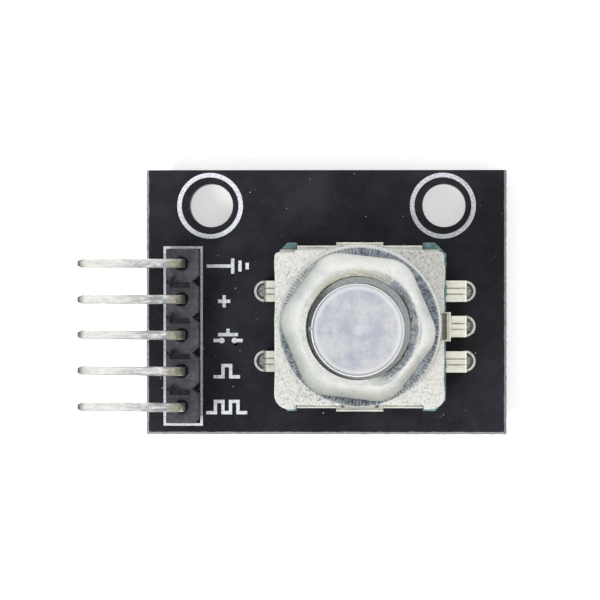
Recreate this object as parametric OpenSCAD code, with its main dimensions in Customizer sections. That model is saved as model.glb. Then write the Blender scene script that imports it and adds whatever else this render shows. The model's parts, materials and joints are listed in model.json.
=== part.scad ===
// Rotary encoder module: a five-terminal incremental encoder with a push switch,
// soldered to a small board with two mounting holes and a right-angle pin header.
//
// Frame: the origin is on the shaft's axis at the board's underside, +Z up the shaft,
// +X away from the header. Sizes are in millimetres.

/* [Circuit board] */
// Length of the board along X
board_l = 25.84; // [25.7:0.02:26.4]
// Width of the board along Y
board_w = 19; // [18.9:0.1:19.4]
// Thickness of the board
board_t = 1.6; // [1.4:0.1:1.8]
// Distance from the shaft's axis to the board's header edge
board_left = 15.34; // [15.2:0.02:15.6]
// Distance from the shaft's axis to the board's front edge
board_front = 7.78; // [7.7:0.02:7.9]
// Diameter of the two mounting holes
hole_d = 3.1; // [2.8:0.1:3.4]
// Distance between the two mounting holes
hole_pitch = 16.67; // [16.5:0.01:16.8]
// Distance from the shaft's axis back to the line of the mounting holes
hole_y = 8.64; // [8.5:0.02:8.8]

/* [Pin header] */
// Distance between neighbouring pins
pin_pitch = 2.54; // [2.54]
// Side of the square pins
pin_w = 0.64; // [0.6:0.02:0.68]
// Height of the pins' horizontal legs above the board, at their middle
pin_level = 4; // [3.8:0.1:4.6]
// Distance from the upright legs to the pins' tips
pin_reach = 7.25; // [6.5:0.05:8.5]
// Width of the header's plastic strip
strip_w = 2.28; // [2.2:0.02:2.5]
// Height of the header's plastic strip
strip_h = 2.5; // [2.3:0.1:2.6]

/* [Encoder body] */
// Width of the encoder's cast plate along X
plate_w = 11.86; // [11.8:0.02:12]
// Height of the cast plate's face above the board
face_h = 6.5; // [6.4:0.1:6.8]
// Outer diameter of the bushing's thread
thread_d = 7; // [6.9:0.05:7.1]
// Length of the bushing above the cast plate
bushing_l = 7; // [6:0.5:9]
// Diameter of the shaft
shaft_d = 6; // [5.9:0.05:6]
// Length of the shaft above the cast plate
shaft_l = 20; // [15:1:25]
// Number of detents, and of segments on the code disc
detents = 20; // [12:2:24]
// Travel of the push switch
push_travel = 0.5; // [0.3:0.05:0.5]

/* [Fasteners] */
// Nut size across its flats
nut_flats = 9.9; // [9.4:0.1:10]
// Nut thickness
nut_h = 2; // [1.6:0.1:2.2]
// Washer outer diameter
washer_d = 11.3; // [11:0.1:12]
// Washer thickness
washer_t = 0.5; // [0.4:0.1:0.6]

/* [Hidden] */
$fn = 64;

// Board
hole_mid_x = -2.325;
foot_z = -1.5; // every soldered leg ends at this height
plating_t = 0.04;
ink_t = 0.03;
ink_line = 0.18;
glyph_line = 0.24;
ring_r = 2.36;
ring_line = 0.32;
ring_shift = [-0.09, -0.02]; // the print sits a little off the drilling

// Header
header_x = -12.68;
header_y = -0.62;
header_n = 5;
strip_l = 12.4;
strip_shift = 0.11; // the strip reaches further inward than outward of its pins
strip_mid_y = header_y - 0.06;
pin_hole_r = 0.51;
pin_pad_r = 0.85;
pin_bend_r = 0.68; // radius of the bend at the pin's middle
pin_tip_l = 0.35;
pin_tip_w = 0.36;
pin_set = [0, 0, -0.5, -0.6, -0.4]; // small sideways set of each leg, in degrees
cell_cut_right = 0.45;
cell_cut_left = 0.2;
slot_l = 1.4;
slot_w = 0.34;
slot_depth = 0.7;
slot_shift = 0.25;

// Heights of the encoder's layers above the board
case_floor_h = 0.45;
case_h = 2;
floor_h = 3.3;
base_h = 4.4;
sheet_t = 0.3;
plate_under_h = base_h + sheet_t;
ceiling_h = 5.8;
disc_under_h = 3.62;
disc_t = 0.2;
rotor_top_h = 4.65;
spring_h = 4.78;
spring_t = 0.15;
ring_top_h = 5.76;
ring_t = 0.48;
shaft_foot_h = case_h + push_travel + 0.07;

// Bushing and shaft
nut_top_h = face_h + washer_t + nut_h;
bushing_top_h = face_h + bushing_l;
thread_r = thread_d / 2;
thread_pitch_r = thread_r - 0.24; // the thread's middle, where the nut holds it
thread_gap = 0.02;
journal_r = 2.6;
journal_gap = 0.035;
mouth_depth = push_travel + 0.15; // the wider mouth lets the shaft's shoulder in

// Encoder plan sizes
case_left = 5.85;
case_right = 6.05;
case_back = 5.92; // half depth at the corner posts
case_waist = 5.38; // half depth between the bracket's walls
wall_half = 4.4; // half length of the bracket's side walls
wall_y = 5.42; // inner face of the bracket's side walls
lug_half = 1.65;
lug_y = 5.65;
lug_foot_half = 1;
lug_slot_l = 2.7;
lug_slot_w = 0.56;
lug_pad_rim = 0.2;
lug_low_h = 0.3;
notch_x = 1.2; // two notches beside each lug
notch_w = 0.26;
notch_depth = 0.8;
tab_x = 6.1;
tab_w = 2.05;
cavity_r = 5;
rotor_r = 4.6;
hub_r = 3.3;
base_bore_r = 2.65;
key_r = 2.5;
key_flat = 2;
key_gap = 0.05;
track_in_r = 3.45;
track_mid_r = 3.75;
track_out_r = 4.45;
groove_mid_r = 4.26;
groove_l = 0.56;
groove_w = 0.5;

// Pull-up resistors on the underside
resistor_l = 2;
resistor_w = 1.25;
resistor_h = 0.5;
resistor_lift = 0.03;
cap_l = 0.35;
resistor_x = -9.6;
resistor_y = [0.65, -1.89];

// Terminals
lead_w = 1.5;
lead_t = 0.3;
foot_w = 1;
encoder_lead_x = 7.55;
switch_lead_x = -6.88;
lead_pitch = 2.5;
lead_bend_r = 0.35;
lead_hole_r = 0.6;
lead_pad_r = 0.76;
hole_inset = 0.1; // the hole's middle lies this far outside the leg's
encoder_lead_h = 2.7;
switch_lead_h = 0.45;
switch_step = 0.45; // rise of each switch lead outside the case
wiper_w = 0.8;
wiper_t = 0.12;
wiper_tip_r = 0.15;

// Push switch
dome_r = 2.95;
dome_rise = push_travel + 0.05;
dome_t = 0.1;
dome_foot_h = switch_lead_h + lead_t + 0.02;
touch_gap = 0.02;
plunger_foot_h = dome_foot_h + dome_rise + touch_gap;
case_bore_r = 3.4;
inner_pad_r = 0.9;
outer_ring_in = 2.45;
outer_ring_out = 3.2;

// Board solids

module at_top() {
    translate([0, 0, board_t]) children();
}

module at_holes() {
    for (side = [-1, 1])
        translate([hole_mid_x + side * hole_pitch / 2, hole_y]) children();
}

module at_header_pins() {
    for (i = [0 : header_n - 1])
        translate([header_x, pin_y(i)]) children();
}

module header_legs_2d() {
    for (i = [0 : header_n - 1])
        translate([header_x, pin_y(i)]) rotate(pin_set[i]) square(pin_w, center = true);
}

module at_encoder_leads() {
    for (i = [-1 : 1])
        translate([encoder_lead_x - lead_t / 2, i * lead_pitch]) children();
}

module at_switch_leads() {
    for (side = [-1, 1])
        translate([switch_lead_x + lead_t / 2, side * lead_pitch]) children();
}

module at_lead_holes() {
    translate([hole_inset, 0]) at_encoder_leads() children();
    translate([-hole_inset, 0]) at_switch_leads() children();
}

module at_lugs() {
    for (turn = [0, 180])
        rotate(turn) translate([0, lug_y + sheet_t / 2]) children();
}

module slot_2d(length, width) {
    square([length - width, width], center = true);
    for (side = [-1, 1])
        translate([side * (length - width) / 2, 0]) circle(d = width);
}

module ring_2d(outer, inner) {
    difference() {
        circle(outer);
        circle(inner);
    }
}

function pin_y(i) = header_y + ((header_n - 1) / 2 - i) * pin_pitch;

module board_outline() {
    translate([-board_left, -board_front]) square([board_l, board_w]);
}

module circuit_board() {
    color([0.16, 0.15, 0.17])
    linear_extrude(board_t)
    difference() {
        board_outline();
        at_holes() circle(d = hole_d);
        at_header_pins() circle(pin_hole_r);
        at_lead_holes() circle(lead_hole_r);
        at_lugs() slot_2d(lug_slot_l, lug_slot_w);
    }
}

// Print: rings round the holes, a frame round the header and one symbol for each pin

module bar(from, to, w) {
    low = [min(from.x, to.x), min(from.y, to.y)] - [w / 2, w / 2];
    size = [abs(from.x - to.x), abs(from.y - to.y)] + [w, w];
    translate(low) square(size);
}

module trace(points, w = glyph_line) {
    for (i = [0 : len(points) - 2]) bar(points[i], points[i + 1], w);
}

module ground_symbol() {
    trace([[-1.4, 0], [0.35, 0]]);
    for (i = [0 : 2])
        trace([[0.35 + i * 0.52, -0.42 + i * 0.15], [0.35 + i * 0.52, 0.42 - i * 0.15]]);
}

module plus_symbol() {
    trace([[-0.32, 0], [0.32, 0]]);
    trace([[0, -0.32], [0, 0.32]]);
}

module button_symbol() {
    for (side = [-1, 1]) {
        trace([[side * 0.93, -0.3], [side * 0.5, -0.3]]);
        translate([side * 0.45, -0.3]) circle(0.2);
    }
    trace([[-0.6, 0.12], [0.6, 0.12]]);
    trace([[0, 0.12], [0, 0.42]]);
}

module pulse_symbol(pulses, width) {
    step = width / (2 * pulses + 1);
    for (i = [0 : 2 * pulses]) {
        level = (i % 2 == 0 ? -1 : 1) * 0.4;
        x = -width / 2 + i * step;
        trace([[x, level], [x + step, level]]);
        if (i > 0) trace([[x, -0.4], [x, 0.4]]);
    }
}

module board_print() {
    color([0.86, 0.87, 0.9])
    at_top() linear_extrude(ink_t) {
        translate(ring_shift) at_holes() ring_2d(ring_r, ring_r - ring_line);
        translate([header_x, strip_mid_y - 0.03]) difference() {
            square([2.82, 12.86], center = true);
            square([2.82 - 2 * ink_line, 12.86 - 2 * ink_line], center = true);
        }
        translate([-9.48, 4.3]) ground_symbol();
        translate([-9.74, 1.78]) plus_symbol();
        translate([-9.46, -0.73]) button_symbol();
        translate([-9.55, -3.23]) pulse_symbol(1, 1.65);
        translate([-9.56, -5.8]) pulse_symbol(2, 2.7);
    }
}

module pads_2d() {
    at_header_pins() ring_2d(pin_pad_r, pin_hole_r);
    at_lead_holes() ring_2d(lead_pad_r, lead_hole_r);
}

module lug_pads_2d() {
    at_lugs() difference() {
        slot_2d(lug_slot_l + 2 * lug_pad_rim, lug_slot_w + 2 * lug_pad_rim);
        slot_2d(lug_slot_l, lug_slot_w);
    }
}

module plated_pads() {
    color([0.82, 0.82, 0.8]) {
        at_top() linear_extrude(plating_t) pads_2d();
        mirror([0, 0, 1]) linear_extrude(plating_t) {
            pads_2d();
            lug_pads_2d();
        }
    }
}

// Solder fills each hole round its leg and rises along the leg below the board.

module solder_plug(hole_r, pad_r, tip_r, length, fill) {
    cylinder(h = fill, r = hole_r);
    mirror([0, 0, 1]) cylinder(h = plating_t, r = hole_r);
    translate([0, 0, -plating_t]) mirror([0, 0, 1]) cylinder(h = length, r1 = pad_r, r2 = tip_r);
}

module leg_sections() {
    through = 3 * board_t;
    translate([0, 0, -board_t]) linear_extrude(through) {
        header_legs_2d();
        at_encoder_leads() square([lead_t, foot_w], center = true);
        at_switch_leads() square([lead_t, foot_w], center = true);
        at_lugs() square([2 * lug_foot_half, sheet_t], center = true);
    }
}

module solder_joints() {
    color([0.78, 0.79, 0.8])
    difference() {
        union() {
            at_header_pins() solder_plug(pin_hole_r, 0.78, 0.48, 1.1, board_t);
            at_lead_holes() solder_plug(lead_hole_r, 0.7, 0.66, 0.5, board_t - 0.12);
            at_lugs() {
                linear_extrude(board_t - 0.2) slot_2d(lug_slot_l, lug_slot_w);
                mirror([0, 0, 1]) linear_extrude(plating_t) slot_2d(lug_slot_l, lug_slot_w);
                translate([0, 0, -plating_t]) mirror([0, 0, 1])
                    linear_extrude(0.36) slot_2d(lug_slot_l - 0.2, 0.75);
                mirror([0, 0, 1]) linear_extrude(0.8) slot_2d(lug_slot_l - 0.4, 0.54);
            }
        }
        leg_sections();
    }
}

// Two pull-up resistors on the underside, between the header and the encoder

module at_resistor(i) {
    translate([resistor_x, resistor_y[i], 0]) mirror([0, 0, 1]) children();
}

module resistor_body(i) {
    color([0.1, 0.1, 0.11])
    at_resistor(i)
    translate([-resistor_l / 2 + cap_l, -resistor_w / 2, resistor_lift])
        cube([resistor_l - 2 * cap_l, resistor_w, resistor_h - resistor_lift]);
}

module pullup_resistor_1() {
    resistor_body(0);
}

module pullup_resistor_2() {
    resistor_body(1);
}

module resistor_end_caps() {
    color([0.8, 0.8, 0.79])
    for (i = [0, 1]) at_resistor(i)
        for (side = [-1, 1])
            translate([side * (resistor_l - cap_l) / 2 - cap_l / 2, -resistor_w / 2, 0])
                cube([cap_l, resistor_w, resistor_h]);
}

// Pin header: one strip of five joined cells, and five square pins bent over the edge

module header_cell() {
    half_w = strip_w / 2;
    half_l = pin_pitch / 2;
    polygon([
        [-half_w, -half_l + cell_cut_left], [-half_w + cell_cut_left, -half_l],
        [half_w - cell_cut_right, -half_l], [half_w, -half_l + cell_cut_right],
        [half_w, half_l - cell_cut_right], [half_w - cell_cut_right, half_l],
        [-half_w + cell_cut_left, half_l], [-half_w, half_l - cell_cut_left]
    ]);
}

module header_strip() {
    color([0.2, 0.19, 0.21])
    at_top() difference() {
        translate([0, 0, plating_t]) linear_extrude(strip_h - plating_t) intersection() {
            translate([strip_shift, 0]) at_header_pins() header_cell();
            translate([header_x + strip_shift, strip_mid_y])
                square([strip_w, strip_l], center = true);
        }
        translate([0, 0, -1]) linear_extrude(strip_h + 2) header_legs_2d();
        translate([0, 0, strip_h - 0.3]) linear_extrude(1)
            at_header_pins() circle(0.5);
        for (i = [0 : header_n - 2])
            translate([header_x - 0.1, pin_y(i) - pin_pitch / 2 - slot_shift, strip_h])
                cube([slot_l, slot_w, 2 * slot_depth], center = true);
    }
}

module header_pin(i) {
    leg_top = board_t + pin_level - pin_bend_r;
    half = pin_w / 2;
    straight = pin_reach - pin_bend_r - pin_tip_l;
    color([0.83, 0.82, 0.78])
    translate([header_x, pin_y(i), 0]) rotate(pin_set[i]) {
        translate([-half, -half, foot_z + pin_tip_l])
            cube([pin_w, pin_w, leg_top - foot_z - pin_tip_l]);
        translate([0, 0, foot_z + pin_tip_l]) mirror([0, 0, 1]) pin_tip();
        translate([-pin_bend_r, half, leg_top]) rotate([90, 0, 0])
            intersection() {
                linear_extrude(pin_w) ring_2d(pin_bend_r + half, pin_bend_r - half);
                cube([2, 2, 2]);
            }
        translate([-pin_bend_r - straight, -half, board_t + pin_level - half])
            cube([straight, pin_w, pin_w]);
        translate([-pin_bend_r - straight, 0, board_t + pin_level])
            rotate([0, -90, 0]) pin_tip();
    }
}

// Four-sided taper at a pin's end
module pin_tip() {
    rotate(45) cylinder(h = pin_tip_l, d1 = pin_w * sqrt(2), d2 = pin_tip_w * sqrt(2), $fn = 4);
}

module header_pin_1() {
    header_pin(0);
}

module header_pin_2() {
    header_pin(1);
}

module header_pin_3() {
    header_pin(2);
}

module header_pin_4() {
    header_pin(3);
}

module header_pin_5() {
    header_pin(4);
}

// Moulded housing: a switch case below and the contact base above it

module housing_2d() {
    difference() {
        translate([-case_left, -case_back])
            square([case_left + case_right, 2 * case_back]);
        for (side = [-1, 1])
            translate([0, side * (case_waist + 1)])
                square([2 * wall_half + 0.1, 2], center = true);
        for (x = [-case_left, case_right]) for (y = [-1, 1])
            translate([x, y * case_back]) rotate(45) square(1.1, center = true);
    }
}

module switch_case() {
    color([0.25, 0.48, 0.44])
    at_top() difference() {
        linear_extrude(case_h) housing_2d();
        translate([0, 0, case_floor_h]) cylinder(h = case_h, r = case_bore_r);
        switch_leads_space();
        bracket_feet();
    }
}

module contact_base() {
    color([0.3, 0.55, 0.51])
    at_top() difference() {
        translate([0, 0, case_h]) linear_extrude(base_h - case_h) housing_2d();
        translate([0, 0, floor_h]) cylinder(h = base_h, r = cavity_r);
        cylinder(h = base_h, r = base_bore_r);
        for (y = [-1, 0, 1]) translate([0, y * lead_pitch]) encoder_lead_inside(y == 0);
    }
}

// A flat lead runs out of the housing, then turns down through the board.
// The bend's outer face is at x = 0 and the lead runs towards -X.

module lead_outside(run, level) {
    drop = level + lead_t - lead_bend_r - foot_z + board_t;
    translate([-run, -lead_w / 2, level]) cube([run - lead_bend_r, lead_w, lead_t]);
    translate([-lead_bend_r, lead_w / 2, level + lead_t - lead_bend_r]) rotate([90, 0, 0])
        intersection() {
            linear_extrude(lead_w) ring_2d(lead_bend_r, lead_bend_r - lead_t);
            cube([2, 2, 2 * lead_w]);
        }
    translate([-lead_t, -lead_w / 2, 0.15])
        cube([lead_t, lead_w, level + lead_t - lead_bend_r - 0.15]);
    translate([-lead_t, -foot_w / 2, foot_z - board_t])
        cube([lead_t, foot_w, drop]);
}

// Two fine grooves along a lead's top face
module lead_grooves(run, level) {
    for (side = [-1, 1])
        translate([-run - 1, side * lead_w / 6 - 0.04, level + lead_t - 0.05])
            cube([run + 1 - lead_bend_r, 0.08, 1]);
}

// Where a lead rises to its wiper arm
function rise_x(is_common) = is_common ? 4.2 : 3.9;

module encoder_lead_inside(is_common) {
    from_x = rise_x(is_common);
    translate([from_x, -lead_w / 2, encoder_lead_h])
        cube([case_right - from_x, lead_w, lead_t]);
    translate([from_x, -wiper_w / 2, encoder_lead_h])
        cube([lead_t, wiper_w, floor_h - encoder_lead_h]);
}

// Wiper arm on the base's floor; its rounded tip rides on the code disc.
module wiper(is_common) {
    tip_x = is_common ? (track_in_r + track_mid_r) / 2 : 3.25;
    low_x = tip_x - wiper_tip_r;
    translate([low_x, -wiper_w / 2, floor_h])
        cube([rise_x(is_common) + lead_t - low_x, wiper_w, wiper_t]);
    translate([tip_x, 0, disc_under_h - touch_gap - wiper_tip_r]) rotate([90, 0, 0])
        cylinder(h = wiper_w - 0.2, r = wiper_tip_r, center = true);
}

module encoder_contact(y) {
    is_common = y == 0;
    run = encoder_lead_x - case_right;
    color([0.83, 0.82, 0.74])
    at_top() translate([0, y * lead_pitch]) {
        encoder_lead_inside(is_common);
        wiper(is_common);
        translate([encoder_lead_x, 0]) difference() {
            lead_outside(run, encoder_lead_h);
            lead_grooves(run, encoder_lead_h);
        }
    }
}

module contact_a() {
    encoder_contact(1);
}

module contact_common() {
    encoder_contact(0);
}

module contact_b() {
    encoder_contact(-1);
}

// Push switch: two contacts on the case's floor, a snap dome and its plunger

module switch_lead_run(side) {
    translate([-case_left, side * lead_pitch - lead_w / 2]) square([1.2, lead_w]);
}

module inner_contact_2d() {
    circle(inner_pad_r);
    translate([-4.4, -0.4]) square([4.4, 0.8]);
    translate([-5, -0.4]) square([0.8, lead_pitch + 0.4]);
    switch_lead_run(1);
}

module outer_contact_2d() {
    difference() {
        ring_2d(outer_ring_out, outer_ring_in);
        translate([-4, -0.9]) square([4, 1.8]);
    }
    translate([-5, -lead_pitch - 0.4]) square([3.3, 0.8]);
    switch_lead_run(-1);
}

module switch_leads_space() {
    translate([0, 0, switch_lead_h]) linear_extrude(lead_t) {
        inner_contact_2d();
        outer_contact_2d();
    }
}

module switch_lead_outside(side) {
    run = -switch_lead_x - case_left;
    translate([switch_lead_x, side * lead_pitch]) mirror([1, 0, 0]) difference() {
        lead_outside(run, switch_lead_h + switch_step);
        lead_grooves(run, switch_lead_h + switch_step);
    }
}

module switch_contact_inner() {
    color([0.83, 0.82, 0.74])
    at_top() {
        translate([0, 0, switch_lead_h]) linear_extrude(lead_t) inner_contact_2d();
        switch_lead_step(1);
        switch_lead_outside(1);
    }
}

module switch_contact_outer() {
    color([0.83, 0.82, 0.74])
    at_top() {
        translate([0, 0, switch_lead_h]) linear_extrude(lead_t) outer_contact_2d();
        switch_lead_step(-1);
        switch_lead_outside(-1);
    }
}

// Outside the case each switch lead steps up before its bend.
module switch_lead_step(side) {
    translate([-case_left - lead_t, side * lead_pitch - lead_w / 2, switch_lead_h])
        cube([lead_t, lead_w, switch_step + lead_t]);
}

module switch_dome() {
    sphere_r = (dome_r * dome_r + dome_rise * dome_rise) / (2 * dome_rise);
    color([0.8, 0.8, 0.78])
    at_top() translate([0, 0, dome_foot_h]) rotate_extrude() intersection() {
        translate([0, dome_rise - sphere_r]) difference() {
            circle(sphere_r, $fn = 256);
            circle(sphere_r - dome_t, $fn = 256);
        }
        square([dome_r, dome_rise]);
    }
}

module switch_plunger() {
    flange_r = 3;
    stem_r = 1.5;
    color([0.9, 0.89, 0.84])
    at_top() translate([0, 0, plunger_foot_h]) {
        cylinder(h = 0.36, r = flange_r);
        cylinder(h = shaft_foot_h - touch_gap - plunger_foot_h, r = stem_r);
    }
}

// Rotor with the code disc let into its underside and detent grooves in its top

module code_disc_2d() {
    ring_2d(track_mid_r, track_in_r);
    intersection() {
        ring_2d(track_out_r, track_mid_r - 0.1);
        for (i = [0 : detents - 1]) rotate(i * 360 / detents) sector_2d(180 / detents);
    }
}

// Wedge of the given angle, centred on +X
module sector_2d(angle) {
    reach = 2 * rotor_r;
    polygon([
        [0, 0],
        [reach, -reach * tan(angle / 2)],
        [reach, reach * tan(angle / 2)]
    ]);
}

module shaft_key_2d(gap) {
    intersection() {
        circle(key_r + gap);
        square([2 * key_r + 1, 2 * (key_flat + gap)], center = true);
    }
}

module rotor() {
    color([0.9, 0.88, 0.8])
    at_top() difference() {
        union() {
            translate([0, 0, disc_under_h])
                cylinder(h = rotor_top_h - disc_under_h, r = rotor_r);
            translate([0, 0, floor_h + touch_gap])
                cylinder(h = 0.7, r = hub_r);
        }
        linear_extrude(face_h) shaft_key_2d(key_gap);
        translate([0, 0, disc_under_h - 1]) linear_extrude(1 + disc_t) code_disc_2d();
        for (i = [0 : detents - 1]) rotate((i + 0.5) * 360 / detents)
            translate([groove_mid_r, 0, rotor_top_h]) rotate([45, 0, 0])
                cube([groove_l, groove_w, groove_w], center = true);
    }
}

module code_disc() {
    color([0.85, 0.72, 0.4])
    at_top() translate([0, 0, disc_under_h]) linear_extrude(disc_t) code_disc_2d();
}

// Ring spring held by two ears; its two bumps drop into the rotor's grooves.
module click_spring() {
    ear_w = 1.2;
    bump_r = 0.15;
    bump_l = 0.4;
    color([0.82, 0.8, 0.72])
    at_top() {
        translate([0, 0, spring_h]) linear_extrude(spring_t) {
            ring_2d(4.7, 4.05);
            intersection() {
                circle(cavity_r - touch_gap);
                for (side = [-1, 1])
                    translate([side * 4.75, 0]) square([0.6, ear_w], center = true);
            }
        }
        for (side = [-1, 1]) rotate(side * 90 + 180 / detents)
            translate([groove_mid_r, 0, rotor_top_h - 0.05]) {
                rotate([0, 90, 0]) cylinder(h = bump_l, r = bump_r, center = true);
                translate([-bump_l / 2, -bump_r, 0]) cube([bump_l, 2 * bump_r, 0.2]);
            }
    }
}

// Stamped bracket: a web under the cast plate, two side walls with soldered lugs,
// feet folded under the switch case, and a tab over the middle terminal

module rounded_bend(outer_r) {
    intersection() {
        circle(outer_r);
        square(outer_r);
    }
}

module bracket_wall_2d(inner_y, low) {
    translate([inner_y, low]) square([sheet_t, base_h - low]);
    translate([inner_y, base_h]) rounded_bend(sheet_t);
    translate([cavity_r, base_h]) square([inner_y - cavity_r, sheet_t]);
}

// Extrudes a (y, z) outline along X, centred
module along_x(length) {
    rotate([90, 0, 90]) linear_extrude(length, center = true) children();
}

module bracket_feet() {
    for (turn = [0, 180]) rotate(turn) for (side = [-1, 1])
        translate([side * (wall_half - 0.75), 0, 0]) along_x(1.5)
            translate([4.6, 0]) square([wall_y - 4.6 + 0.01, sheet_t]);
}

module bracket_side() {
    difference() {
        union() {
            along_x(2 * wall_half) bracket_wall_2d(wall_y, plating_t);
            along_x(2 * lug_half) {
                bracket_wall_2d(lug_y, lug_low_h);
                translate([wall_y, lug_low_h]) square([lug_y - wall_y, base_h - lug_low_h]);
            }
        }
        for (side = [-1, 1])
            translate([side * notch_x - notch_w / 2, wall_y + 0.02, base_h + sheet_t - notch_depth])
                cube([notch_w, 0.24, notch_depth + 1]);
    }
    along_x(2 * lug_foot_half)
        translate([lug_y, foot_z - board_t]) square([sheet_t, board_t - foot_z + 0.5]);
}

module bracket_tab() {
    rotate(-90) along_x(tab_w) {
        translate([cavity_r, base_h]) square([tab_x - cavity_r, sheet_t]);
        translate([tab_x, base_h]) rounded_bend(sheet_t);
        translate([tab_x, base_h - 1]) square([sheet_t, 1]);
    }
}

module mounting_bracket() {
    color([0.86, 0.85, 0.78])
    at_top() {
        translate([0, 0, base_h]) linear_extrude(sheet_t) difference() {
            square([11.2, 2 * wall_y], center = true);
            circle(cavity_r);
        }
        for (turn = [0, 180]) rotate(turn) bracket_side();
        bracket_feet();
        bracket_tab();
    }
}

// Cast plate with the threaded bushing

module plate_2d() {
    half = plate_w / 2;
    corner_r = 1;
    front = 5.72;
    back_corner = 5.23;
    difference() {
        union() {
            translate([-half, -front + corner_r])
                square([plate_w, front - corner_r + back_corner]);
            translate([-half + corner_r, -front]) square([plate_w - 2 * corner_r, 2]);
            for (side = [-1, 1])
                translate([side * (half - corner_r), -front + corner_r]) circle(corner_r);
            translate([-wall_half, 4]) square([2 * wall_half, wall_y - 4]);
        }
        translate([-wall_half - 0.05, -front - 1])
            square([2 * wall_half + 0.1, front - wall_y + 1]);
        translate([5.62, -0.95]) square([1, 1.95]);
    }
}

module bushing_plate() {
    chamfer = 0.45;
    nut_under_h = face_h + washer_t;
    crest_from_h = nut_top_h + 0.05;
    color([0.87, 0.86, 0.83])
    at_top() difference() {
        union() {
            translate([0, 0, plate_under_h])
                linear_extrude(face_h - plate_under_h) plate_2d();
            translate([0, 0, face_h - 0.5])
                cylinder(h = nut_under_h - face_h + 0.5, r = thread_r - 0.05);
            translate([0, 0, nut_under_h - 0.5])
                cylinder(h = crest_from_h - nut_under_h + 1, r = thread_pitch_r);
            translate([0, 0, crest_from_h])
                cylinder(h = bushing_top_h - crest_from_h - chamfer, r = thread_r);
            translate([0, 0, bushing_top_h - chamfer])
                cylinder(h = chamfer, r1 = thread_r, r2 = thread_r - chamfer + 0.05);
        }
        cylinder(h = ceiling_h, r = cavity_r);
        cylinder(h = 2 * bushing_top_h, r = journal_r + journal_gap);
        translate([0, 0, bushing_top_h - mouth_depth])
            cylinder(h = 1, r = shaft_d / 2 + journal_gap);
    }
}

// Shaft: a plain outer length, a journal in the bushing, and a keyed end in the rotor

module shaft() {
    tip_h = face_h + shaft_l;
    shoulder_h = bushing_top_h - 0.05;
    shaft_r = shaft_d / 2;
    tip_chamfer = 0.18;
    color([0.74, 0.74, 0.79])
    at_top() {
        translate([0, 0, tip_h - tip_chamfer])
            cylinder(h = tip_chamfer, r1 = shaft_r, r2 = shaft_r - tip_chamfer);
        translate([0, 0, shoulder_h])
            cylinder(h = tip_h - shoulder_h - tip_chamfer, r = shaft_r);
        translate([0, 0, ring_top_h + 0.01])
            cylinder(h = shoulder_h - ring_top_h - 0.01, r = journal_r);
        difference() {
            translate([0, 0, shaft_foot_h])
                linear_extrude(ring_top_h - shaft_foot_h + 0.01) shaft_key_2d(0);
            translate([0, 0, ring_top_h - ring_t - 0.01]) linear_extrude(ring_t + 0.02)
                ring_2d(4, 1.8);
        }
    }
}

module retaining_ring() {
    color([0.6, 0.6, 0.6])
    at_top() translate([0, 0, ring_top_h - ring_t]) linear_extrude(ring_t) difference() {
        ring_2d(3.8, 1.8);
        translate([0, -1.1]) square([5, 2.2]);
    }
}

// Washer and nut on the bushing

module lock_washer() {
    edge = 0.12;
    color([0.72, 0.74, 0.78])
    translate([0.03, 0.1, board_t + face_h]) difference() {
        union() {
            cylinder(h = washer_t - edge, d = washer_d);
            translate([0, 0, washer_t - edge])
                cylinder(h = edge, d1 = washer_d, d2 = washer_d - 2 * edge);
        }
        translate([0, 0, -1]) cylinder(h = 2, r = thread_r + 0.12);
    }
}

module hex_nut() {
    corner_r = nut_flats / 2 / cos(30) - 0.34;
    crown = 0.55;
    color([0.83, 0.84, 0.83])
    translate([0, 0, board_t + face_h + washer_t]) difference() {
        intersection() {
            rotate(-6.8) cylinder(h = nut_h, r = nut_flats / 2 / cos(30), $fn = 6);
            union() {
                cylinder(h = nut_h - crown, r = corner_r);
                translate([0, 0, nut_h - crown])
                    cylinder(h = crown, r1 = corner_r, r2 = corner_r - 1);
            }
        }
        translate([0, 0, -1]) cylinder(h = nut_h + 2, r = thread_pitch_r + thread_gap);
        translate([0, 0, nut_h - 0.25])
            cylinder(h = 0.3, r1 = thread_r - 0.05, r2 = thread_r + 0.25);
    }
}

circuit_board();
board_print();
plated_pads();
solder_joints();
pullup_resistor_1();
pullup_resistor_2();
resistor_end_caps();
header_strip();
header_pin_1();
header_pin_2();
header_pin_3();
header_pin_4();
header_pin_5();
switch_case();
switch_contact_inner();
switch_contact_outer();
switch_dome();
switch_plunger();
contact_base();
contact_a();
contact_common();
contact_b();
rotor();
code_disc();
click_spring();
mounting_bracket();
bushing_plate();
shaft();
retaining_ring();
lock_washer();
hex_nut();
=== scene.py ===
import json
import math
import random

import bpy
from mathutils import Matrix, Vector, geometry, noise


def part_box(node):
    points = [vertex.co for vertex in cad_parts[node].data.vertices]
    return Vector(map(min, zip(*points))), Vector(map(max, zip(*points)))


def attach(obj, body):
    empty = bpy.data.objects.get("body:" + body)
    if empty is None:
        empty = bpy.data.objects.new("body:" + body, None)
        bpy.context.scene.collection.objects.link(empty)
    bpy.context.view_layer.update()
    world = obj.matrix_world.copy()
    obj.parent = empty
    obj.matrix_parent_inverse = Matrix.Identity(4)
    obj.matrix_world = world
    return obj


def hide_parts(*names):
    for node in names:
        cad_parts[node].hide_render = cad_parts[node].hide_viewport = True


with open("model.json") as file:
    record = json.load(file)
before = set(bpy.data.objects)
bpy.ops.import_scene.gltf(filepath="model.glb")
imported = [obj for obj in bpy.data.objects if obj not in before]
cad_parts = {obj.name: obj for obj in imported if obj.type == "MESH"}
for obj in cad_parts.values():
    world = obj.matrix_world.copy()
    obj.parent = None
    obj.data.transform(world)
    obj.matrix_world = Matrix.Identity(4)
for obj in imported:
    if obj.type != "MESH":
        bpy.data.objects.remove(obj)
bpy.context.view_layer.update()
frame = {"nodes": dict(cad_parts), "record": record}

MM = 0.001
NODES = frame["nodes"]
FULL = 2 * math.pi

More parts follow.
